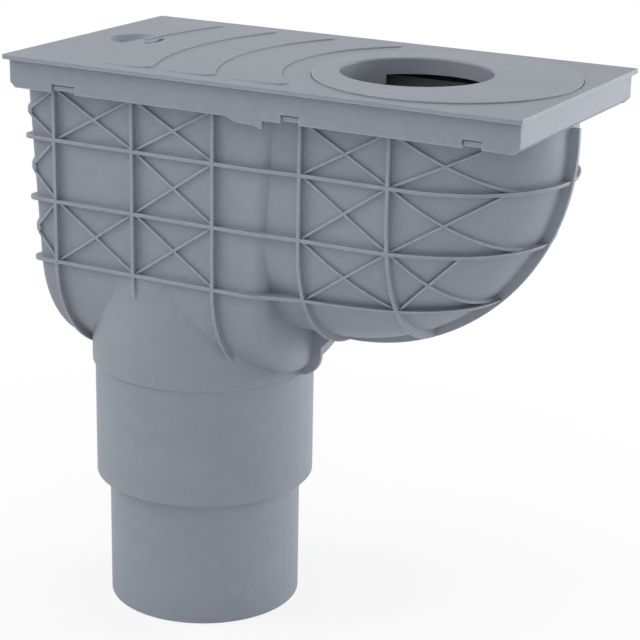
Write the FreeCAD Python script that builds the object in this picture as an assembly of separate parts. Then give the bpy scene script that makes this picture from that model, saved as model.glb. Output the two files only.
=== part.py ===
import FreeCAD, Part
import math
import os

# Rainwater gully: a ribbed one-piece body with a stepped outlet spigot on the left and a round bowl
# on the right, a lift-off lid, an eccentric inlet disc that turns in the lid, a lift-out leaf basket
# in the bowl and a hinged odour flap between the bowl and the outlet.
# Millimetres. Origin on the outlet's axis at the lower end of the spigot, X towards the bowl, Z up.

V = FreeCAD.Vector
Z_AXIS = V(0, 0, 1)

# Outlet: two spigots one above the other, for two pipe sizes, under a slightly wider neck.
spigot_small_d = 110.0
spigot_large_d = 125.0
spigot_wall = 3.0
spigot_step_z = 74.0
spigot_lead = 1.5
neck_d = 128.0
neck_z = 142.2
neck_bevel = 1.2
neck_close = 10.0

# Overall size and lid.
overall_height = 320.8
lid_length = 300.0
lid_width = 155.0
lid_left_x = -79.0
lid_plate_t = 2.4
lid_height = 18.0
skirt_t = 2.0
rim_over_end = 2.0
rim_over_side = 4.4
rim_corner_r = 1.2
skirt_corner_cut = 3.0
lid_fit = 0.4
lid_seat_gap = 0.3
lid_rib_t = 2.0

# Notches in the lower edge of the lid's skirt and the lugs of the body that stand in them.
notch_h = 4.3
notches = ((-42.5, 15.0), (95.0, 10.5), (194.0, 10.5))
lug_bite = 0.7
lug_slack = 0.4

# Lift tab under the front skirt.
tab_x = 58.0
tab_w = 21.0
tab_drop = 3.0
tab_ramp = 5.0
tab_lip = 1.2

# Finger scoop in the lid's left part: its floor climbs to the top on the right, before a curved slot.
dish_x = -47.5
dish_y = 2.0
dish_d = 27.0
dish_depth = 4.0
dish_slope = 0.9
dish_run = 20.0
dish_wall = 1.8
dish_slot_w = 3.2
dish_slot_angle = 70.0

# Ripples on the lid: raised ramps round the inlet that climb towards it and end in a low step.
ripple_radii = (85.0, 118.5, 152.0, 185.5)
ripple_run = 30.0
ripple_rise = 0.8
ripple_border = 10.0
ripple_corner_r = 4.0

# Inlet disc, turning in a stepped round opening of the lid.
disc_x = 146.0
disc_d = 139.0
disc_t = 2.2
disc_proud = 0.8
disc_fit = 0.4
disc_ledge_w = 4.0
disc_ledge_t = 2.2
disc_guide_t = 2.0
disc_guide_h = 3.0
inlet_d = 80.0
inlet_offset = 17.2
inlet_collar_t = 2.0
inlet_collar_h = 9.0
inlet_edge_r = 1.0
apron_drop = 5.0
apron_angle = 80.0

# Body walls.
wall_t = 2.5
tray_floor_t = 2.4
tray_wall_t = 2.2

# Outlet chamber: a box with leaning ends whose long sides curve in underneath, down to the neck.
chamber_half = 62.0
chamber_left_x = -72.8
chamber_right_x = 78.5
chamber_ref_z = 274.0
chamber_draft_deg = 3.5
chamber_left_r = 3.0
chamber_right_r = 8.0
trough_z = 205.0
trough_r = 57.0

# Bowl: a bend of round section, open upwards, that leads into the chamber.
bowl_r = 59.5
bowl_bend_r = 61.0
bowl_bend_x = 95.0
bowl_bend_z = 294.5
bowl_leg_x = 64.0

# Ribs outside the body.
rib_t = 1.8
rib_h = 3.6
rib_zs = (206.0, 240.0, 274.0)
rib_xs = (-55.0, -5.0, 45.0, 95.0, 145.0)
short_rib_x = -5.0
short_rib_z = 193.0
brace_t = 1.3
brace_h = 1.7
brace_bays = ((-55.0, -5.0), (-5.0, 45.0), (95.0, 145.0))
bowl_brace_x = 145.0
bowl_brace_ends = (180.0, 201.0, 203.0)
bare_panel = (-55.0, 240.0)
end_rib_y = 42.0
keel_t = 2.6
keel_h = 4.7
keel_gusset = 8.0

# Odour trap: a frame that slides down into a grooved lip, and a flap hung on it.
trap_x = 74.0
trap_tilt_deg = 8.0
trap_lip_in = 4.0
trap_lip_root = 5.0
trap_lip_front = 6.5
trap_lip_back = 6.0
frame_t = 2.6
frame_fit = 0.3
frame_groove = 3.2
frame_top = 62.0
port_r = 42.0
port_drop = 6.0
port_top = 28.0
flap_over = 5.0
flap_t = 2.4
flap_gap = 0.3
flap_rim_h = 3.0
hinge_up = 44.0
hinge_out = 8.0
hinge_pin_d = 5.0
hinge_pin_len = 3.6
hinge_fit = 0.06
hinge_barrel_d = 9.0
hinge_barrel_half = 26.0
hinge_side_gap = 0.4
ear_t = 4.0
ear_r = 5.0

# Leaf basket, hung by its rim on four lugs in the bowl.
basket_gap = 6.0
basket_t = 1.8
basket_left_x = 91.0
basket_top_z = 298.0
basket_rim_t = 2.0
basket_rim_gap = 0.8
basket_rim_seat = 0.2
basket_lug_w = 10.0
basket_lug_h = 5.0
basket_lug_reach = 3.2
basket_lug_xs = (104.0, 148.0)
slot_w = 4.0
slot_pitch = 9.0
slot_rows = ((205.0, 236.0), (244.0, 286.0))
slot_half_y = 27.0
handle_w = 9.0
handle_t = 4.0

# Sizes that follow from the ones above.
lid_right_x = lid_left_x + lid_length
lid_half = lid_width / 2
skirt_x0 = lid_left_x + rim_over_end
skirt_x1 = lid_right_x - rim_over_end
skirt_half = lid_half - rim_over_side
lid_top_z = overall_height - ripple_rise
skirt_z = lid_top_z - lid_height
lid_under_z = lid_top_z - lid_plate_t
lid_seat_z = lid_top_z - disc_t - disc_ledge_t
disc_top_z = lid_top_z + disc_proud
tray_x0 = skirt_x0 + skirt_t + lid_fit
tray_x1 = skirt_x1 - skirt_t - lid_fit
tray_half = skirt_half - skirt_t - lid_fit
tray_z = skirt_z + 1.0
tray_floor_z = tray_z + tray_floor_t
tray_top_z = lid_seat_z - lid_seat_gap
rib_top_z = skirt_z - lid_seat_gap
neck_r = neck_d / 2
neck_top_z = rib_zs[0]
leg_axis_z = bowl_bend_z - bowl_bend_r
bowl_end_x = bowl_bend_x + bowl_bend_r
bowl_inner_r = bowl_r - wall_t
trap_passage_r = bowl_inner_r - trap_lip_in
trap_groove_r = trap_passage_r + frame_groove
draft = math.tan(math.radians(chamber_draft_deg))
over = 1.0


def box(xs, ys, zs):
    """A block between two values on each axis."""
    return Part.makeBox(xs[1] - xs[0], ys[1] - ys[0], zs[1] - zs[0], V(xs[0], ys[0], zs[0]))


def cylinder(radius, z0, z1, x=0.0, y=0.0):
    """An upright cylinder between two heights."""
    return Part.makeCylinder(radius, z1 - z0, V(x, y, z0))


def prism_y(points, y0, y1):
    """A polygon of (x, z) points drawn out along Y."""
    wire = Part.makePolygon([V(x, y0, z) for x, z in points] + [V(points[0][0], y0, points[0][1])])
    return Part.Face(wire).extrude(V(0, y1 - y0, 0))


def prism_x(points, x0, x1):
    """A polygon of (y, z) points drawn out along X."""
    wire = Part.makePolygon([V(x0, y, z) for y, z in points] + [V(x0, points[0][0], points[0][1])])
    return Part.Face(wire).extrude(V(x1 - x0, 0, 0))


def bar(start, end, width):
    """The four corners of a bar of the given width along a line, run on past both ends."""
    dx = end[0] - start[0]
    dz = end[1] - start[1]
    length = math.hypot(dx, dz)
    ux = dx / length
    uz = dz / length
    side = width / 2
    a = (start[0] - ux * over, start[1] - uz * over)
    b = (end[0] + ux * over, end[1] + uz * over)
    return [(a[0] - uz * side, a[1] + ux * side), (b[0] - uz * side, b[1] + ux * side),
            (b[0] + uz * side, b[1] - ux * side), (a[0] + uz * side, a[1] - ux * side)]


def u_plate(radius, x0, x1, top):
    """A plate across X with straight sides and a half-round foot, about the local origin."""
    foot = Part.makeCylinder(radius, x1 - x0, V(x0, 0, 0), V(1, 0, 0))
    return foot.fuse(box((x0, x1), (-radius, radius), (0, top))).removeSplitter()


def chamber_end_x(side, z):
    """X of the chamber's outer end face at a height: side -1 is the left end, +1 the right one."""
    foot = chamber_left_x if side < 0 else chamber_right_x
    return foot + side * draft * (z - chamber_ref_z)


def trough(grow, top_z):
    """The chamber's cross-section drawn out along X: straight sides over a round-edged foot."""
    half = chamber_half + grow
    r = trough_r + grow
    low = trough_z - r
    flat = half - r
    k = r * math.sqrt(0.5)
    reach = lid_length
    edges = []
    for side in (-1, 1):
        knee = V(-reach, side * half, trough_z)
        turn = V(-reach, side * (flat + k), trough_z - k)
        foot = V(-reach, side * flat, low)
        edges.append(Part.makeLine(V(-reach, side * half, top_z), knee))
        edges.append(Part.Arc(knee, turn, foot).toShape())
    edges.append(Part.makeLine(V(-reach, -flat, low), V(-reach, flat, low)))
    edges.append(Part.makeLine(V(-reach, -half, top_z), V(-reach, half, top_z)))
    wire = Part.Wire(Part.__sortEdges__(edges))
    return Part.Face(wire).extrude(V(2 * reach, 0, 0))


def chamber_form(grow, top_z):
    """The outlet chamber's outside, made larger by grow, with rounded edges along both leaning ends."""
    foot_z = trough_z - trough_r - grow - over
    profile = []
    for side, z in ((-1, foot_z), (1, foot_z), (1, top_z), (-1, top_z)):
        profile.append((chamber_end_x(side, z) + side * grow, z))
    form = prism_y(profile, -lid_width, lid_width).common(trough(grow, top_z))
    for side, radius in ((-1, chamber_left_r), (1, chamber_right_r)):
        edges = []
        for edge in form.Edges:
            ends = [edge.valueAt(t) for t in (edge.FirstParameter, edge.LastParameter)]
            at_end = all(abs(p.x - chamber_end_x(side, p.z) - side * grow) < 0.001 for p in ends)
            if at_end and min(p.z for p in ends) < top_z - over:
                edges.append(edge)
        form = form.makeFillet(max(radius + grow, 0.4), edges)
    return form


def bowl_form(grow, top_z):
    """The bowl's outside, made larger by grow: a bend, its level leg and the straight top above."""
    r = bowl_r + grow
    a = V(bowl_bend_x, -r, bowl_bend_z)
    b = V(bowl_bend_x, -r, leg_axis_z)
    tip = V(bowl_bend_x, 0, leg_axis_z - r)
    c = V(bowl_bend_x, r, leg_axis_z)
    d = V(bowl_bend_x, r, bowl_bend_z)
    section = Part.Wire([Part.makeLine(a, b), Part.Arc(b, tip, c).toShape(), Part.makeLine(c, d),
                         Part.makeLine(d, a)])
    face = Part.Face(section)
    bend = face.revolve(V(bowl_bend_x, 0, bowl_bend_z), V(0, -1, 0), 90)
    leg = face.extrude(V(bowl_leg_x - bowl_bend_x, 0, 0))
    neck = box((bowl_leg_x, bowl_end_x), (-r, r), (bowl_bend_z, top_z))
    end = cylinder(r, bowl_bend_z, top_z, bowl_end_x)
    return bend.multiFuse([leg, neck, end]).removeSplitter()


def body_form(grow, top_z):
    """Chamber and bowl together."""
    return chamber_form(grow, top_z).fuse(bowl_form(grow, top_z)).removeSplitter()


def main_ribs():
    """Level ribs round the body and upright ribs down its long sides."""
    reach = lid_length
    plates = []
    for z in rib_zs:
        plates.append(box((-reach, reach), (-reach, reach), (z - rib_t / 2, z + rib_t / 2)))
    for x in rib_xs:
        low = short_rib_z if x == short_rib_x else neck_z
        plates.append(box((x - rib_t / 2, x + rib_t / 2), (-reach, reach), (low, rib_top_z)))
    for y in (-end_rib_y, end_rib_y):
        plates.append(box((-reach, rib_xs[0]), (y - rib_t / 2, y + rib_t / 2), (rib_zs[0], rib_top_z)))
    form = body_form(rib_h, rib_top_z)
    return [form.common(plate) for plate in plates] + rib_bridges()


def bowl_half(z):
    """Half the bowl's width at a height, over its ribs."""
    r = bowl_r + rib_h
    return math.sqrt(r * r - max(leg_axis_z - z, 0.0) ** 2)


def rib_bridges():
    """Webs that carry the level ribs straight across the valley between chamber and bowl."""
    webs = []
    for z in rib_zs:
        x0 = chamber_end_x(1, z) - chamber_right_r
        x1 = rib_xs[3]
        y0 = chamber_half + rib_h
        y1 = bowl_half(z)
        low = z - rib_t / 2
        for side in (-1, 1):
            points = [(x0, 0), (x1, 0), (x1, side * y1), (x0, side * y0), (x0, 0)]
            wire = Part.makePolygon([V(x, y, low) for x, y in points])
            webs.append(Part.Face(wire).extrude(V(0, 0, rib_t)))
    return webs


def braces():
    """Crossed ribs in the panels between the level and upright ribs, and round the left corners."""
    rows = list(zip(rib_zs, rib_zs[1:] + (rib_top_z,)))
    reach = lid_length
    bars = []
    for (z0, z1), bowl_end in zip(rows, bowl_brace_ends):
        for x0, x1 in brace_bays + ((bowl_brace_x, bowl_end),):
            if (x0, z0) == bare_panel:
                continue
            for start, end in (((x0, z0), (x1, z1)), ((x0, z1), (x1, z0))):
                bars.append(prism_y(bar(start, end, brace_t), -reach, reach))
    for z0, z1 in rows:
        middle = (z0 + z1) / 2
        corner_x = chamber_end_x(-1, middle)
        inner_x = corner_x + chamber_left_r
        for side in (-1, 1):
            ys = sorted((side * (chamber_half - chamber_left_r), side * (chamber_half + rib_h)))
            bars.append(box((corner_x - rib_h, inner_x), ys, (middle - brace_t, middle + brace_t)))
        for z in (z0, z1):
            front = bar((rib_xs[0], z), (corner_x, middle), brace_t)
            bars.append(prism_y(front, -reach, reach))
            for side in (-1, 1):
                turn = bar((side * chamber_half, middle), (side * end_rib_y, z), brace_t)
                bars.append(prism_x(turn, -reach, inner_x))
                other = z0 + z1 - z
                cross = bar((side * end_rib_y, z), (0.0, other), brace_t)
                bars.append(prism_x(cross, -reach, inner_x))
    form = body_form(brace_h, rib_top_z)
    return [form.common(one) for one in bars]


def keel():
    """The rib in the plane of symmetry, with a gusset where bowl and chamber meet underneath."""
    reach = lid_length
    form = body_form(keel_h, rib_top_z)
    blade = form.common(box((-reach, reach), (-keel_t / 2, keel_t / 2), (neck_z, rib_top_z)))
    x = chamber_end_x(1, leg_axis_z - bowl_r)
    z = leg_axis_z - bowl_r
    corner = [(x - wall_t, z + wall_t), (x + keel_h + keel_gusset, z + wall_t),
              (x + keel_h + keel_gusset, z - keel_h + 0.5), (x + keel_h - 0.5, z - keel_gusset - keel_h),
              (x - wall_t, z - keel_gusset - keel_h)]
    return blade.fuse(prism_y(corner, -keel_t / 2, keel_t / 2))


def spigots(grow):
    """Neck, large and small spigot: grow 0 is the outside, -spigot_wall the bore."""
    large = spigot_large_d / 2 + grow
    small = spigot_small_d / 2 + grow
    if grow < 0:
        step = spigot_step_z + spigot_wall
        points = [(0, -over), (small, -over), (small, step - spigot_wall), (large, step + spigot_wall),
                  (large, neck_z), (neck_r - wall_t, neck_z + neck_bevel),
                  (neck_r - wall_t, neck_top_z - neck_close), (neck_r - 2 * wall_t, neck_top_z - wall_t),
                  (0, neck_top_z - wall_t)]
    else:
        points = [(0, 0), (small, 0), (small, spigot_step_z), (large - spigot_lead, spigot_step_z),
                  (large, spigot_step_z + spigot_lead), (large, neck_z),
                  (neck_r, neck_z + neck_bevel), (neck_r, neck_top_z), (0, neck_top_z)]
    wire = Part.makePolygon([V(r, 0, z) for r, z in points] + [V(points[0][0], 0, points[0][1])])
    return Part.Face(wire).revolve(V(0, 0, 0), Z_AXIS, 360)


def trap_place(shape):
    """Takes a shape from the trap's own axes to its leaning place in the body."""
    turned = shape.copy()
    turned.rotate(V(0, 0, 0), V(0, 1, 0), trap_tilt_deg)
    turned.translate(V(trap_x, 0, leg_axis_z))
    return turned


def trap_lip():
    """The grooved lip round the passage between bowl and chamber that holds the trap's frame."""
    outer = u_plate(bowl_inner_r + trap_lip_root, -trap_lip_front, trap_lip_back, frame_top)
    passage = u_plate(trap_passage_r, -trap_lip_front - over, trap_lip_back + over, frame_top + over)
    half = frame_t / 2 + frame_fit
    groove = u_plate(trap_groove_r, -half, half, frame_top + over)
    lip = trap_place(outer.cut(passage).cut(groove))
    return lip.common(body_form(-0.5, tray_z))


def basket_lugs():
    """Four small brackets in the bowl that carry the basket's rim."""
    top = basket_top_z - basket_rim_t - basket_rim_seat
    inner = bowl_inner_r - basket_lug_reach
    lugs = []
    for x in basket_lug_xs:
        for side in (-1, 1):
            half = basket_lug_w / 2
            foot = (side * (bowl_inner_r + wall_t / 2), top - basket_lug_h - basket_lug_reach)
            points = [(side * inner, top), (side * (bowl_inner_r + wall_t / 2), top), foot,
                      (side * inner, top - basket_lug_h)]
            lugs.append(prism_x(points, x - half, x + half))
    return lugs


def locating_lugs():
    """Blocks on the tray's long sides that stand in the lid's notches, with a sloping top."""
    face = tray_half - wall_t / 2
    tip = skirt_half - skirt_t + lug_bite
    z0 = tray_z
    z1 = skirt_z + notch_h - lug_slack
    lugs = []
    for x, width in notches:
        half = width / 2 - lug_slack
        for side in (-1, 1):
            points = [(side * face, z0), (side * tip, z0), (side * tip, z1 - lug_slack),
                      (side * tray_half, z1), (side * face, z1)]
            lugs.append(prism_x(points, x - half, x + half))
    return lugs


def make_body():
    """The ribbed body with its tray for the lid, as one moulding."""
    outer = body_form(0.0, tray_floor_z)
    outer = outer.multiFuse(main_ribs() + braces() + [keel(), spigots(0.0)])
    tray = box((tray_x0, tray_x1), (-tray_half, tray_half), (tray_z, tray_top_z))
    outer = outer.fuse(tray)
    cavity = body_form(-wall_t, tray_floor_z + over)
    room_half = tray_half - tray_wall_t
    room = box((tray_x0 + tray_wall_t, tray_x1 - tray_wall_t), (-room_half, room_half),
               (tray_floor_z, tray_top_z + over))
    shell = outer.cut(cavity.multiFuse([spigots(-spigot_wall), room]))
    body = shell.multiFuse([trap_lip()] + basket_lugs() + locating_lugs())
    return body.removeSplitter()


def disc_opening():
    """The stepped round opening of the lid in which the inlet disc turns."""
    radius = disc_d / 2 + disc_fit
    step_z = lid_top_z - disc_t
    seat = cylinder(radius, step_z, overall_height + over, disc_x)
    return seat.fuse(cylinder(radius - disc_ledge_w, lid_seat_z - over, overall_height, disc_x))


def ripples():
    """Raised ramps round the inlet: each climbs from the left and ends in a low step with round corners."""
    half = lid_half - ripple_border
    field = box((lid_left_x + ripple_border, disc_x), (-half, half), (skirt_z, overall_height + over))
    foot_z = lid_top_z - over
    run = ripple_run * (ripple_rise + over) / ripple_rise
    ramps = []
    for radius in ripple_radii:
        points = [(radius, foot_z), (radius + run, foot_z), (radius, overall_height)]
        wire = Part.makePolygon([V(disc_x + r, 0, h) for r, h in points + points[:1]])
        ramp = Part.Face(wire).revolve(V(disc_x, 0, 0), Z_AXIS, 360).common(field)
        if radius == ripple_radii[-1]:
            ramp = ramp.common(box((lid_left_x, disc_x), (dish_y, half), (skirt_z, overall_height + over)))
        corners = [e for e in ramp.Edges if e.BoundBox.XLength < 0.01 and e.BoundBox.YLength < 0.01
                   and abs(math.hypot(e.CenterOfMass.x - disc_x, e.CenterOfMass.y) - radius) < 0.01
                   and abs(abs(e.CenterOfMass.y) - half) < 0.01]
        ramps.append(ramp.makeFillet(ripple_corner_r, corners))
    return ramps


def dish_form(grow, top_z):
    """The finger scoop as a plug, made larger by grow: a cone with a floor that climbs to the right."""
    radius = dish_d / 2 + grow
    left = dish_x - radius
    right = dish_x - dish_d / 2 + dish_run
    low = lid_top_z - dish_depth - grow
    floor = [(left, low), (right, lid_top_z - grow), (right, top_z), (left, top_z)]
    wedge = prism_y(floor, dish_y - radius, dish_y + radius)
    foot_r = radius - dish_slope * (lid_top_z - low)
    top_r = radius + dish_slope * (top_z - lid_top_z)
    return wedge.common(Part.makeCone(foot_r, top_r, top_z - low, V(dish_x, dish_y, low)))


def sector(x, y, heading_deg, angle_deg, reach, z0, z1):
    """An upright wedge with its edge at (x, y), opening about a heading that is measured from +X."""
    points = [V(x, y, z0)]
    for turn in (-angle_deg / 2, 0.0, angle_deg / 2):
        heading = math.radians(heading_deg + turn)
        far = reach / math.cos(math.radians(angle_deg / 2))
        points.append(V(x + far * math.cos(heading), y + far * math.sin(heading), z0))
    return Part.Face(Part.makePolygon(points + points[:1])).extrude(V(0, 0, z1 - z0))


def dish_slot():
    """The curved slot through the plate along the right side of the finger scoop."""
    z0 = lid_seat_z - dish_depth
    inner = dish_d / 2
    outer = inner + dish_slot_w
    ring = cylinder(outer, z0, overall_height, dish_x, dish_y)
    ring = ring.cut(cylinder(inner, z0 - over, overall_height + over, dish_x, dish_y))
    return ring.common(sector(dish_x, dish_y, 0.0, dish_slot_angle, outer, z0, overall_height))


def make_lid():
    """Plate, skirt, notches, lift tab, finger scoop and the opening for the inlet disc."""
    plate = box((lid_left_x, lid_right_x), (-lid_half, lid_half), (lid_under_z, lid_top_z))
    corners = [e for e in plate.Edges if abs(e.Vertexes[0].Z - e.Vertexes[1].Z) > lid_plate_t / 2]
    plate = plate.makeFillet(rim_corner_r, corners)
    skirt = box((skirt_x0, skirt_x1), (-skirt_half, skirt_half), (skirt_z, lid_under_z + over))
    inside = box((skirt_x0 + skirt_t, skirt_x1 - skirt_t), (skirt_t - skirt_half, skirt_half - skirt_t),
                 (skirt_z - over, lid_under_z))
    shell = plate.fuse(skirt.cut(inside))
    cut = skirt_corner_cut
    for x, side in ((skirt_x0, 1), (skirt_x1, -1)):
        wedge = [(x - side * over, skirt_z - over), (x + side * (cut + over), skirt_z - over),
                 (x - side * over, skirt_z + cut + over)]
        shell = shell.cut(prism_y(wedge, -lid_half, lid_half))

    adds = [cylinder(disc_d / 2 + disc_fit + lid_plate_t, lid_seat_z, lid_under_z + over / 2, disc_x)
            .common(inside)]
    for x in rib_xs[:3]:
        adds.append(box((x - lid_rib_t / 2, x + lid_rib_t / 2), (-skirt_half + over, skirt_half - over),
                        (lid_seat_z, lid_under_z + over / 2)))
    adds.append(box((skirt_x0 + over, disc_x - disc_d / 2), (-lid_rib_t / 2, lid_rib_t / 2),
                    (lid_seat_z, lid_under_z + over / 2)))
    adds.append(dish_form(dish_wall, lid_top_z - over / 2))
    y0 = -skirt_half
    tab = [(tab_x, skirt_z + over), (tab_x, skirt_z), (tab_x + tab_ramp, skirt_z - tab_drop * 0.8),
           (tab_x + tab_w - tab_ramp, skirt_z - tab_drop),
           (tab_x + tab_w - tab_lip, skirt_z - tab_drop - tab_lip),
           (tab_x + tab_w, skirt_z - tab_drop - tab_lip), (tab_x + tab_w, skirt_z + over)]
    adds.append(prism_y(tab, y0, y0 + skirt_t))
    shell = shell.multiFuse(adds + ripples())

    cuts = [disc_opening(), dish_form(0.0, overall_height + over)]
    cuts.append(dish_slot())
    for x, width in notches:
        half = width / 2
        for side in (-1, 1):
            ys = sorted((side * (skirt_half - skirt_t - over), side * (skirt_half + over)))
            cuts.append(box((x - half, x + half), ys, (skirt_z - over, skirt_z + notch_h)))
    return shell.cut(cuts).removeSplitter()


def make_disc():
    """The eccentric inlet disc: flange, guide ring, inlet collar and the apron on its left."""
    radius = disc_d / 2
    flange_z = lid_top_z - disc_t
    guide_z = flange_z - disc_guide_h
    guide_r = radius - disc_ledge_w
    guide = cylinder(guide_r, guide_z, flange_z + over / 2, disc_x)
    guide = guide.cut(cylinder(guide_r - disc_guide_t, guide_z - over, lid_top_z, disc_x))
    hole_x = disc_x - inlet_offset
    collar_r = inlet_d / 2 + inlet_collar_t
    collar_z = disc_top_z - inlet_collar_h
    apron_z = collar_z - apron_drop
    collar = cylinder(collar_r, collar_z, lid_top_z - over, hole_x)
    apron = cylinder(collar_r, apron_z, lid_top_z - over, hole_x)
    apron = apron.common(sector(hole_x, 0.0, 180.0, apron_angle, collar_r, apron_z, lid_top_z))
    disc = cylinder(radius, flange_z, disc_top_z, disc_x).multiFuse([guide, collar, apron])
    disc = disc.cut(cylinder(inlet_d / 2, apron_z - over, disc_top_z + over, hole_x))
    top_edge = [e for e in disc.Edges if abs(e.BoundBox.ZMin - disc_top_z) < 0.01
                and abs(e.BoundBox.ZMax - disc_top_z) < 0.01 and abs(e.BoundBox.YLength - inlet_d) < 0.1]
    return disc.makeFillet(inlet_edge_r, top_edge).removeSplitter()


def make_frame():
    """The trap's frame: a plate with a round-footed port and two ears for the flap's pins."""
    half = frame_t / 2
    plate = u_plate(trap_groove_r - frame_fit, -half, half, frame_top)
    port = u_plate(port_r, -half - over, half + over, port_top + port_drop)
    port.translate(V(0, 0, -port_drop))
    frame = plate.cut(port)
    y0 = hinge_barrel_half + hinge_side_gap
    for side in (-1, 1):
        ys = sorted((side * y0, side * (y0 + ear_t)))
        eye = Part.makeCylinder(ear_r, ear_t, V(-hinge_out, ys[0], hinge_up), V(0, 1, 0))
        arm = box((-hinge_out, -half + over / 2), ys, (hinge_up - ear_r, hinge_up + ear_r))
        frame = frame.multiFuse([eye, arm])
    bore_r = hinge_pin_d / 2 + hinge_fit
    reach = y0 + ear_t + over
    bore = Part.makeCylinder(bore_r, 2 * reach, V(-hinge_out, -reach, hinge_up), V(0, 1, 0))
    return trap_place(frame.cut(bore).removeSplitter())


def make_flap():
    """The odour flap: a plate that covers the port, a stiffening rim and a barrel with two pins."""
    x1 = -frame_t / 2 - flap_gap
    x0 = x1 - flap_t
    radius = port_r + flap_over
    top = port_top + flap_over
    plate = u_plate(radius, x0, x1, top + port_drop)
    rim = u_plate(radius, x0 - flap_rim_h, x0, top + port_drop)
    rim = rim.cut(u_plate(radius - flap_t, x0 - flap_rim_h - over, x0 + over, top + port_drop - flap_t))
    flap = plate.fuse(rim)
    flap.translate(V(0, 0, -port_drop))
    barrel = Part.makeCylinder(hinge_barrel_d / 2, 2 * hinge_barrel_half,
                               V(-hinge_out, -hinge_barrel_half, hinge_up), V(0, 1, 0))
    reach = hinge_barrel_half + hinge_side_gap + hinge_pin_len
    pins = Part.makeCylinder(hinge_pin_d / 2, 2 * reach, V(-hinge_out, -reach, hinge_up), V(0, 1, 0))
    web = box((x0 - flap_rim_h, x0), (-hinge_barrel_half, hinge_barrel_half), (top - flap_t, hinge_up))
    return trap_place(flap.multiFuse([barrel, pins, web]).removeSplitter())


def make_basket():
    """The leaf basket: a slotted shell that follows the bowl, with a rim and a bar to lift it by."""
    reach = lid_length
    grow = -(wall_t + basket_gap)
    xs = (basket_left_x, reach)
    ys = (-reach, reach)
    shell = bowl_form(grow, basket_top_z).common(box(xs, ys, (0, basket_top_z)))
    hollow = bowl_form(grow - basket_t, basket_top_z + over)
    hollow = hollow.common(box((basket_left_x + basket_t, reach), ys, (0, basket_top_z + over)))
    rim = bowl_form(-(wall_t + basket_rim_gap), basket_top_z)
    rim = rim.common(box(xs, ys, (basket_top_z - basket_rim_t, basket_top_z)))
    basket = shell.fuse(rim).cut(hollow)
    slots = []
    for i in range(int((bowl_end_x - basket_left_x) / slot_pitch)):
        x = basket_left_x + slot_pitch * (i + 0.8)
        for zs in slot_rows:
            slots.append(box((x, x + slot_w), ys, zs))
        slots.append(box((x, x + slot_w), (-slot_half_y, slot_half_y), (0, leg_axis_z)))
    rows = int(slot_half_y / slot_pitch)
    for i in range(-rows, rows + 1):
        y = i * slot_pitch
        slot_ys = (y - slot_w / 2, y + slot_w / 2)
        slots.append(box((bowl_end_x, reach), slot_ys, slot_rows[1]))
        slots.append(box((basket_left_x - over, basket_left_x + basket_t + over), slot_ys, slot_rows[1]))
    basket = basket.cut(slots)
    grip_x = (basket_left_x + bowl_end_x) / 2
    inner = bowl_r + grow - basket_t / 2
    grip = box((grip_x - handle_w / 2, grip_x + handle_w / 2), (-inner, inner),
               (basket_top_z - handle_t, basket_top_z))
    return basket.fuse(grip).removeSplitter()


parts = {
    "gully_body": make_body(),
    "lid": make_lid(),
    "inlet_disc": make_disc(),
    "trap_frame": make_frame(),
    "odour_flap": make_flap(),
    "leaf_basket": make_basket(),
}
os.makedirs("parts", exist_ok=True)
for node, shape in parts.items():
    if len(shape.Solids) == 1:
        shape = shape.Solids[0]
    print(node, shape.ShapeType, len(shape.Solids), shape.isValid(), round(shape.Volume / 1000, 1), "cm3")
    print("   ", shape.BoundBox)
    shape.exportStep("parts/" + node + ".step")
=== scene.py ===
# %% [markdown]
# # A rainwater gully in moulded plastic
#
# A gully stands under a downpipe: water falls through the round hole of the lid into a bowl with a leaf
# basket, passes a hinged odour flap and leaves through the stepped outlet. Every piece of it is injection
# moulded, so its shape comes whole from the CAD model. Blender adds what a solid can't hold: the finish
# of the plastic, the soft light of a studio and the camera. Sizes are written in millimetres, and the scene
# is in metres. The CAD box is kept, and its size is printed.

# %% Load the CAD model as a fixed frame
import math

import bpy
import numpy as np
from mathutils import Matrix, Vector


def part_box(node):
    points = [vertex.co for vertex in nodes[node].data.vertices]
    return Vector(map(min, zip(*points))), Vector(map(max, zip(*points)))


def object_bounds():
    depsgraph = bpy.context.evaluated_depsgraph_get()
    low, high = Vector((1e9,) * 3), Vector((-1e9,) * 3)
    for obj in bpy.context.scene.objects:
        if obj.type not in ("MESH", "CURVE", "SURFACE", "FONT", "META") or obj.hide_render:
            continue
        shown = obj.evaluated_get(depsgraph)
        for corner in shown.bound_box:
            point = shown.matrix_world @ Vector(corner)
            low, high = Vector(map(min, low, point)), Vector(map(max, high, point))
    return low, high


MM = 0.001              # metres in a millimetre
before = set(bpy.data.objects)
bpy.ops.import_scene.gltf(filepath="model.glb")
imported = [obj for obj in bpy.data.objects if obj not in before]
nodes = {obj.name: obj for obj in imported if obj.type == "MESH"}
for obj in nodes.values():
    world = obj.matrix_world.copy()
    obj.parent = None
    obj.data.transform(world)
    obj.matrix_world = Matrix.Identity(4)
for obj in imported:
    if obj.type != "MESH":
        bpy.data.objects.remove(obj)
cad_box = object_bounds()
size_mm = [round((high - low) / MM, 1) for low, high in zip(*cad_box)]
print("pieces:", ", ".join(sorted(nodes)), "| size in mm:", size_mm)

# %% [markdown]
# ## Two helpers for the finishes
#
# Colours are picked on a screen as sRGB hex codes, but a renderer adds light in linear values, so one
# function converts them. The other adds one shader node with its settings and its links, which keeps each
# finish below readable as a list of steps.

# %% Colour and node helpers
def linear(code):
    """sRGB hex to linear RGBA: a channel c is c / 12.92 when dark, else ((c + 0.055) / 1.055) ** 2.4."""
    srgb = np.array([int(code[i:i + 2], 16) for i in (1, 3, 5)]) / 255
    rgb = np.where(srgb <= 0.04045, srgb / 12.92, ((srgb + 0.055) / 1.055) ** 2.4)
    return (*rgb.tolist(), 1.0)


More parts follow.
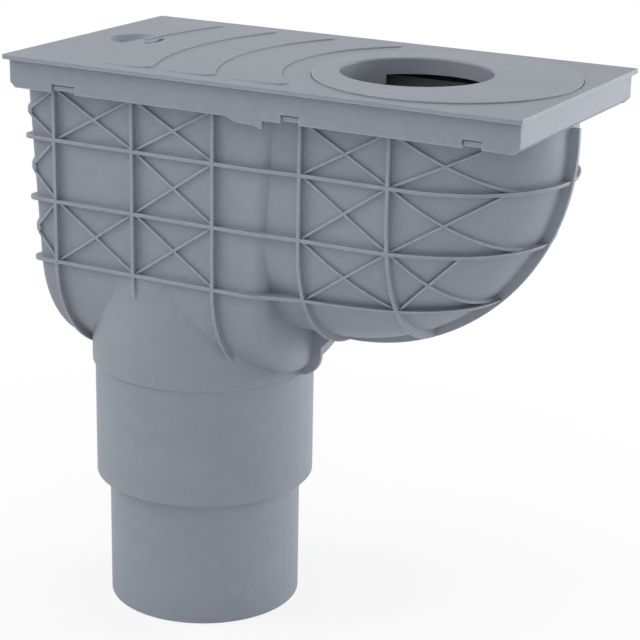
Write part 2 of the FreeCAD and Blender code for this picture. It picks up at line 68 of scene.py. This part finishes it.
def add(tree, kind, inputs, **settings):
    """Adds one node: settings are its own switches, inputs its values or (node, output) links."""
    node = tree.nodes.new(kind)
    for name, value in settings.items():
        setattr(node, name, value)
    for socket, value in inputs.items():
        if isinstance(value, tuple) and isinstance(value[0], bpy.types.Node):
            tree.links.new(value[0].outputs[value[1]], node.inputs[socket])
        else:
            node.inputs[socket].default_value = value
    return node


print("mid grey in linear light:", [round(c, 3) for c in linear("#808080")])

# %% [markdown]
# ## Colour that drifts with the melt
#
# The gully is polypropylene, coloured right through in a cool blue grey. The melt runs into the steel tool
# as broad tongues, and the pigment thins out a little along them, so a wall is never one even colour. An
# image could paint this, but it would show seams on a body with so many ribs. Noise on Object coordinates
# has none: one noise, stretched along the flow, mixes two near tones, and a finer one clouds them.

# %% Flow marks and clouds in the pigment
FLOW_MM = 26.0              # width of a flow mark
FLOW_STRETCH = 0.3          # a flow mark is about three times longer than wide
FLOW_WARP = 0.6             # how far its border wanders
FLOW_RANGE = (0.3, 0.7)     # noise values from the dark to the middle tone
CLOUD_MM = 5.0              # clouds in the pigment
CLOUD_RANGE = (0.35, 0.75)  # noise values from no cloud to a full one
CLOUD_SHARE = 0.12          # how far a full cloud goes towards the pale tone


def melt_colour(tree, place, tones, flow_turn):
    """Colour = dark to middle by the flow noise, then a small share of pale by the cloud noise."""
    dark, middle, pale = (linear(tone) for tone in tones)
    along = add(tree, "ShaderNodeMapping", {
        "Vector": (place, "Object"), "Rotation": flow_turn, "Scale": (FLOW_STRETCH, 1.0, 1.0)})
    flow = add(tree, "ShaderNodeTexNoise", {
        "Vector": (along, 0), "Scale": 1 / (FLOW_MM * MM), "Detail": 4.0, "Distortion": FLOW_WARP})
    flow_share = add(tree, "ShaderNodeMapRange", {
        "Value": (flow, 0), "From Min": FLOW_RANGE[0], "From Max": FLOW_RANGE[1]})
    drift = add(tree, "ShaderNodeMix", {
        "Factor": (flow_share, 0), "A": dark, "B": middle}, data_type="RGBA")
    cloud = add(tree, "ShaderNodeTexNoise", {
        "Vector": (place, "Object"), "Scale": 1 / (CLOUD_MM * MM), "Detail": 3.0})
    cloud_share = add(tree, "ShaderNodeMapRange", {
        "Value": (cloud, 0), "From Min": CLOUD_RANGE[0], "From Max": CLOUD_RANGE[1], "To Max": CLOUD_SHARE})
    colour = add(tree, "ShaderNodeMix", {
        "Factor": (cloud_share, 0), "A": (drift, "Result"), "B": pale}, data_type="RGBA")
    return colour, cloud


print("flow marks of", FLOW_MM, "mm, clouds of", CLOUD_MM, "mm")

# %% [markdown]
# ## Outer edges that rub pale
#
# Boxes rub against ribs and rims on the way to the site, and polypropylene whitens where it is scuffed. The
# pale line is also a painted highlight: it stands in for the bright light that a rounded edge catches. The
# edges could be picked by hand in the mesh, but a CAD mesh is loose triangles without shared edges. Rays
# find
# them instead: an Ambient Occlusion node set to look inwards meets the next face only near an outer edge,
# never in a corner or on a flat wall. The cloud noise then breaks the line up.

# %% Pale outer edges: scuffing and a painted highlight
# The pale edge line stands for scuffing and is also a painted highlight on outer edges.
SCUFF_AND_HIGHLIGHT_MM = 0.9            # width of the paler line along an outer edge
OPEN_START = 0.9        # open share of the inward view where the line begins
OPEN_FULL = 0.45        # open share where the line is full
SCUFF_AND_HIGHLIGHT_GAIN = 1.8          # makes up for the cloud noise, which is near a half


def scuffed_and_highlighted_edges(tree, colour, cloud, tones):
    """Scuffing and painted highlight: pale share = cloud noise times a ramp from OPEN_START to OPEN_FULL, as
    the inward view closes.
    """
    inward = add(tree, "ShaderNodeAmbientOcclusion", {"Distance": SCUFF_AND_HIGHLIGHT_MM * MM},
                 samples=8, inside=True, only_local=True)
    edge = add(tree, "ShaderNodeMapRange", {
        "Value": (inward, "AO"), "From Min": OPEN_START, "From Max": OPEN_FULL, "To Max": SCUFF_AND_HIGHLIGHT_GAIN})
    share = add(tree, "ShaderNodeMath", {
        0: (edge, 0), 1: (cloud, 0)}, operation="MULTIPLY", use_clamp=True)
    return add(tree, "ShaderNodeMix", {
        "Factor": (share, 0), "A": (colour, "Result"), "B": linear(tones[2])}, data_type="RGBA")


# The pale edge line printed here is scuffing and a painted highlight.
print("rubbed edge of", SCUFF_AND_HIGHLIGHT_MM, "mm")

# %% [markdown]
# ## What the steel tool leaves on the surface
#
# A moulding copies its tool. Three marks tell the pieces apart. The body is drawn out of its tool upwards,
# so its walls carry fine upright draw marks. The lid's tool was spark eroded, which gives an even stipple.
# The tool of the round disc was turned on a lathe, and the disc copies its rings. Each is a height pattern
# for a Bump node; as geometry they would take millions of faces. They are two or three tenths of a
# millimetre fine in truth, and are drawn coarser here so that they show.

# %% Height patterns of the tool
DRAW_MM = 1.6           # spacing of draw marks, near 0.3 mm in truth
DRAW_STRETCH = 0.03     # a draw mark runs on for about 50 mm
STIPPLE_MM = 1.3        # stipple of spark erosion, near 0.2 mm in truth
RING_MM = 2.4           # spacing of lathe rings, near 0.2 mm in truth
RING_WOBBLE = 0.4       # how far a ring strays from a true circle
WAVE_RATE = 20.0        # radians that Blender's wave turns in a metre at a scale of 1
disc_low, disc_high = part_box("inlet_disc")
disc_middle = (disc_low + disc_high) / 2


def draw_marks(tree, place):
    """Height = noise that is squeezed along Z, so that it runs in long upright streaks."""
    upright = add(tree, "ShaderNodeMapping", {
        "Vector": (place, "Object"), "Scale": (1.0, 1.0, DRAW_STRETCH)})
    return add(tree, "ShaderNodeTexNoise", {
        "Vector": (upright, 0), "Scale": 1 / (DRAW_MM * MM), "Detail": 2.0})


def stipple(tree, place):
    """Height = distance to the nearest of many scattered points: small round pits."""
    return add(tree, "ShaderNodeTexVoronoi", {
        "Vector": (place, "Object"), "Scale": 1 / (STIPPLE_MM * MM)}, feature="SMOOTH_F1")


def lathe_rings(tree, place):
    """Height = sine of the distance from the disc's axis, one turn of the sine for each ring."""
    centred = add(tree, "ShaderNodeMapping", {"Vector": (place, "Object"), "Location": -disc_middle})
    scale = 2 * math.pi / (WAVE_RATE * RING_MM * MM)
    return add(tree, "ShaderNodeTexWave", {
        "Vector": (centred, 0), "Scale": scale, "Distortion": RING_WOBBLE},
        wave_type="RINGS", rings_direction="Z")


print("disc centred at", [round(c / MM, 1) for c in disc_middle], "mm")

# %% [markdown]
# ## Moulded polypropylene, piece by piece
#
# The finish joins the parts above. Two more things belong to any moulding: a sharp corner of the tool
# leaves a radius of about half a millimetre, which catches a thin light, and thin walls sink a little as
# they cool, so reflections waver. A Bevel node rounds the corners in the shading and leaves the CAD mesh
# alone, and a wide soft noise gives the sinking. Roughness near 0.45 is the satin of polypropylene, and
# 1.49 is its IOR.

# %% The finish as one function
EDGE_MM = 0.5               # radius on sharp edges
SINK_MM = 34.0              # width of a sunken patch
SINK_DEPTH_MM = 1.2         # height of the sinking before its share is taken
SINK_SHARE = 0.25           # how much of the sinking the bump keeps
MARK_DEPTH_MM = 0.1         # height of a tool mark before the piece's own strength
SATIN_RANGE = (0.3, 0.7)    # cloud noise from the glossier to the duller patches
GLOSSIER, DULLER = 0.05, 0.06   # how far the roughness of such patches goes down and up
POLYPROPYLENE_IOR = 1.49


def polypropylene(name, tones, roughness, mark, mark_strength, flow_turn=(0.0, 0.0, 0.0)):
    """Moulded polypropylene: melt colour, pale edges (scuffing and a painted highlight), and bump on bump:
    round edge, sinking, tool mark.
    """
    material = bpy.data.materials.new(name)
    material.use_nodes = True
    tree = material.node_tree
    shader = tree.nodes["Principled BSDF"]
    place = add(tree, "ShaderNodeTexCoord", {})
    colour, cloud = melt_colour(tree, place, tones, flow_turn)
    # Outer edges turn pale: scuffing, and a painted highlight where a rounded edge would catch the lamps.
    colour = scuffed_and_highlighted_edges(tree, colour, cloud, tones)
    tree.links.new(colour.outputs["Result"], shader.inputs["Base Color"])

    satin = add(tree, "ShaderNodeMapRange", {
        "Value": (cloud, 0), "From Min": SATIN_RANGE[0], "From Max": SATIN_RANGE[1],
        "To Min": roughness - GLOSSIER, "To Max": roughness + DULLER})
    tree.links.new(satin.outputs[0], shader.inputs["Roughness"])

    rounded = add(tree, "ShaderNodeBevel", {"Radius": EDGE_MM * MM}, samples=6)
    sink = add(tree, "ShaderNodeTexNoise", {
        "Vector": (place, "Object"), "Scale": 1 / (SINK_MM * MM), "Detail": 1.0})
    sunken = add(tree, "ShaderNodeBump", {
        "Height": (sink, 0), "Normal": (rounded, 0), "Strength": SINK_SHARE, "Distance": SINK_DEPTH_MM * MM})
    marked = add(tree, "ShaderNodeBump", {
        "Height": (mark(tree, place), 0), "Normal": (sunken, 0), "Strength": mark_strength,
        "Distance": MARK_DEPTH_MM * MM})
    tree.links.new(marked.outputs[0], shader.inputs["Normal"])
    shader.inputs["IOR"].default_value = POLYPROPYLENE_IOR
    return material


print("edge radius", EDGE_MM, "mm, sunken patches", SINK_MM, "mm")

# %% [markdown]
# The outside pieces share one batch of blue-grey plastic. Basket, frame and flap sit in the dark and come
# from other tools in a deeper grey, which also makes them easy to tell apart when the lid is off. A batch is
# three tones: dark and middle for the drift of the melt, and pale for clouds and for outer edges, where it
# paints scuffing and a highlight.

# %% A finish for every piece
BLUE_GREY = ("#868D98", "#8A919C", "#ABB1BA")
INNER_GREY = ("#777D87", "#7C838D", "#9AA0A9")
SLANTWISE = (0.0, math.radians(35), 0.0)
ACROSS_DISC = (0.0, 0.0, math.radians(60))
finishes = {
    # Satin walls with upright draw marks; the melt enters low at the neck and spreads slantwise.
    "gully_body": polypropylene("polypropylene_body_satin_drawn", BLUE_GREY, roughness=0.46,
                                mark=draw_marks, mark_strength=0.12, flow_turn=SLANTWISE),
    # A stippled plate, a little duller than the body, with flow marks along its length.
    "lid": polypropylene("polypropylene_lid_stippled", BLUE_GREY, roughness=0.50,
                         mark=stipple, mark_strength=0.12),
    # Fine rings that give the disc a faint silky turn in the light.
    "inlet_disc": polypropylene("polypropylene_disc_turned_tool", BLUE_GREY, roughness=0.47,
                                mark=lathe_rings, mark_strength=0.06, flow_turn=ACROSS_DISC),
    # The inside pieces: smoother tools, so slightly glossier and darker.
    "leaf_basket": polypropylene("polypropylene_basket_drawn", INNER_GREY, roughness=0.44,
                                 mark=draw_marks, mark_strength=0.10),
    "trap_frame": polypropylene("polypropylene_frame_stippled", INNER_GREY, roughness=0.44,
                                mark=stipple, mark_strength=0.08),
    "odour_flap": polypropylene("polypropylene_flap_stippled", INNER_GREY, roughness=0.42,
                                mark=stipple, mark_strength=0.06),
}
for piece, finish in finishes.items():
    nodes[piece].data.materials.clear()
    nodes[piece].data.materials.append(finish)
    print(piece, "->", finish.name)

# %% [markdown]
# ## Floor and background
#
# The gully stands on a plain pale floor: one large square round the foot of the outlet, which runs past the
# picture on all sides, so no edge or horizon shows.

# %% Pale floor
FLOOR_HALF = 14.0       # metres from the middle to a side, past the edge of any view
corners = np.array([(-1, -1, 0), (1, -1, 0), (1, 1, 0), (-1, 1, 0)]) * FLOOR_HALF
floor_mesh = bpy.data.meshes.new("pale_floor")
floor_mesh.from_pydata(corners.tolist(), [], [(0, 1, 2, 3)])
floor = bpy.data.objects.new("pale_floor", floor_mesh)
bpy.context.collection.objects.link(floor)
print("floor of", 2 * FLOOR_HALF, "m round the outlet")

# %% [markdown]
# The floor is matt white paper. A lit floor turns grey far from the lamps, so a camera ray sees mostly plain
# white: a fifth of the true floor is left in near the foot, which keeps a soft shadow there, and less and
# less of it further out.

# %% White paper
FLOOR_SHARE = 0.2       # how much of the true floor a camera ray sees near the foot
SHADOW_NEAR = 0.07      # metres from the outlet's axis where the true floor starts to fade
SHADOW_FAR = 0.45       # metres where it is all white
PAPER_WHITE = "#F4F4F4"
PAPER_ROUGHNESS = 0.9
paper = bpy.data.materials.new("white_paper_sweep")
paper.use_nodes = True
tree = paper.node_tree
matt = tree.nodes["Principled BSDF"]
matt.inputs["Base Color"].default_value = linear(PAPER_WHITE)
matt.inputs["Roughness"].default_value = PAPER_ROUGHNESS
ground = add(tree, "ShaderNodeTexCoord", {})
away = add(tree, "ShaderNodeVectorMath", {0: (ground, "Object")}, operation="LENGTH")
plain = add(tree, "ShaderNodeMapRange", {
    "Value": (away, "Value"), "From Min": SHADOW_NEAR, "From Max": SHADOW_FAR,
    "To Min": 1 - FLOOR_SHARE, "To Max": 1.0})
ray = add(tree, "ShaderNodeLightPath", {})
share = add(tree, "ShaderNodeMath", {0: (ray, "Is Camera Ray"), 1: (plain, 0)}, operation="MULTIPLY")
white = add(tree, "ShaderNodeEmission", {"Color": (1.0, 1.0, 1.0, 1.0), "Strength": 1.0})
sweep = add(tree, "ShaderNodeMixShader", {0: (share, 0), 1: (matt, 0), 2: (white, 0)})
tree.links.new(sweep.outputs[0], tree.nodes["Material Output"].inputs["Surface"])
floor_mesh.materials.append(paper)
print("the shadow fades from", SHADOW_NEAR, "to", SHADOW_FAR, "m")

# %% [markdown]
# ## Light
#
# Product pictures of plastic use large soft lamps, so that form reads by slow changes of tone. Three
# softboxes do it here: one from the left front, a low one from behind on the right that brightens the short
# end and the right edge of every round, and a weak one just above the camera that softens the shadows in
# front. An even sky fills the rest. Directions are given as a compass angle round the gully and a height
# above the horizon.

# %% Softboxes
AIM = Vector((0.07, 0.0, 0.18))     # the middle of the gully, in metres


def softbox(name, compass, height, distance, width, watts):
    """An area lamp looking at AIM: compass 0 is in front, 90 to the right, height is above the horizon."""
    turn, tilt = math.radians(compass), math.radians(height)
    towards = Vector((math.sin(turn) * math.cos(tilt), -math.cos(turn) * math.cos(tilt), math.sin(tilt)))
    lamp = bpy.data.lights.new(name, "AREA")
    lamp.size = width
    lamp.energy = watts
    holder = bpy.data.objects.new(name, lamp)
    holder.location = AIM + towards * distance
    holder.rotation_euler = towards.to_track_quat("Z", "Y").to_euler()
    bpy.context.collection.objects.link(holder)
    return holder


lamps = [
    softbox("left_front_softbox", compass=-60, height=36, distance=1.7, width=0.9, watts=10.5),
    softbox("right_back_softbox", compass=140, height=10, distance=1.7, width=0.8, watts=16.0),
    softbox("front_softbox", compass=28, height=24, distance=1.7, width=0.7, watts=2.8),
]
print("lamps:", [(lamp.name, lamp.data.energy) for lamp in lamps])

# %% [markdown]
# The sky is plain white at about half strength for the light it gives, and at full strength where the
# camera or a reflection looks straight at it, so that gloss shows the same white as the picture.

# %% Even sky
SKY = 0.55
world = bpy.data.worlds.new("even_sky")
bpy.context.scene.world = world
world.use_nodes = True
tree = world.node_tree
ray = add(tree, "ShaderNodeLightPath", {})
seen = add(tree, "ShaderNodeMath", {
    0: (ray, "Is Camera Ray"), 1: (ray, "Is Glossy Ray")}, operation="MAXIMUM")
seen = add(tree, "ShaderNodeMath", {0: (seen, 0), 1: (ray, "Is Transmission Ray")}, operation="MAXIMUM")
strength = add(tree, "ShaderNodeMapRange", {"Value": (seen, 0), "To Min": SKY, "To Max": 1.0})
tree.nodes["Background"].inputs["Color"].default_value = (1.0, 1.0, 1.0, 1.0)
tree.links.new(strength.outputs[0], tree.nodes["Background"].inputs["Strength"])
print("sky gives", SKY, "of white")

# %% [markdown]
# ## Camera
#
# The camera looks from the right front and a little from above. Its place was worked out from the corners
# of the lid and the rims of the outlet, so a long lens and a small roll come with it. The matrix is built
# from three directions: where the lens looks, and its right and up after the roll.

# %% Camera at the picture's viewing angle
CAMERA_PLACE = Vector((0.56689, -0.90471, 0.51016))     # metres
YAW, PITCH, ROLL = (math.radians(angle) for angle in (28.555, 17.942, 1.063))
LENS_MM = 110.52
forward = Vector((-math.sin(YAW) * math.cos(PITCH), math.cos(YAW) * math.cos(PITCH), -math.sin(PITCH)))
level = forward.cross(Vector((0.0, 0.0, 1.0))).normalized()
upright = level.cross(forward)
right = level * math.cos(ROLL) + upright * math.sin(ROLL)
up = upright * math.cos(ROLL) - level * math.sin(ROLL)
turned = Matrix((right, up, -forward)).transposed().to_4x4()
camera = bpy.data.objects.new("camera", bpy.data.cameras.new("camera"))
camera.data.lens = LENS_MM
camera.matrix_world = Matrix.Translation(CAMERA_PLACE) @ turned
bpy.context.collection.objects.link(camera)
bpy.context.scene.camera = camera
bpy.context.scene.view_settings.view_transform = "Standard"
print("camera at", [round(c, 3) for c in CAMERA_PLACE], "with a", LENS_MM, "mm lens")
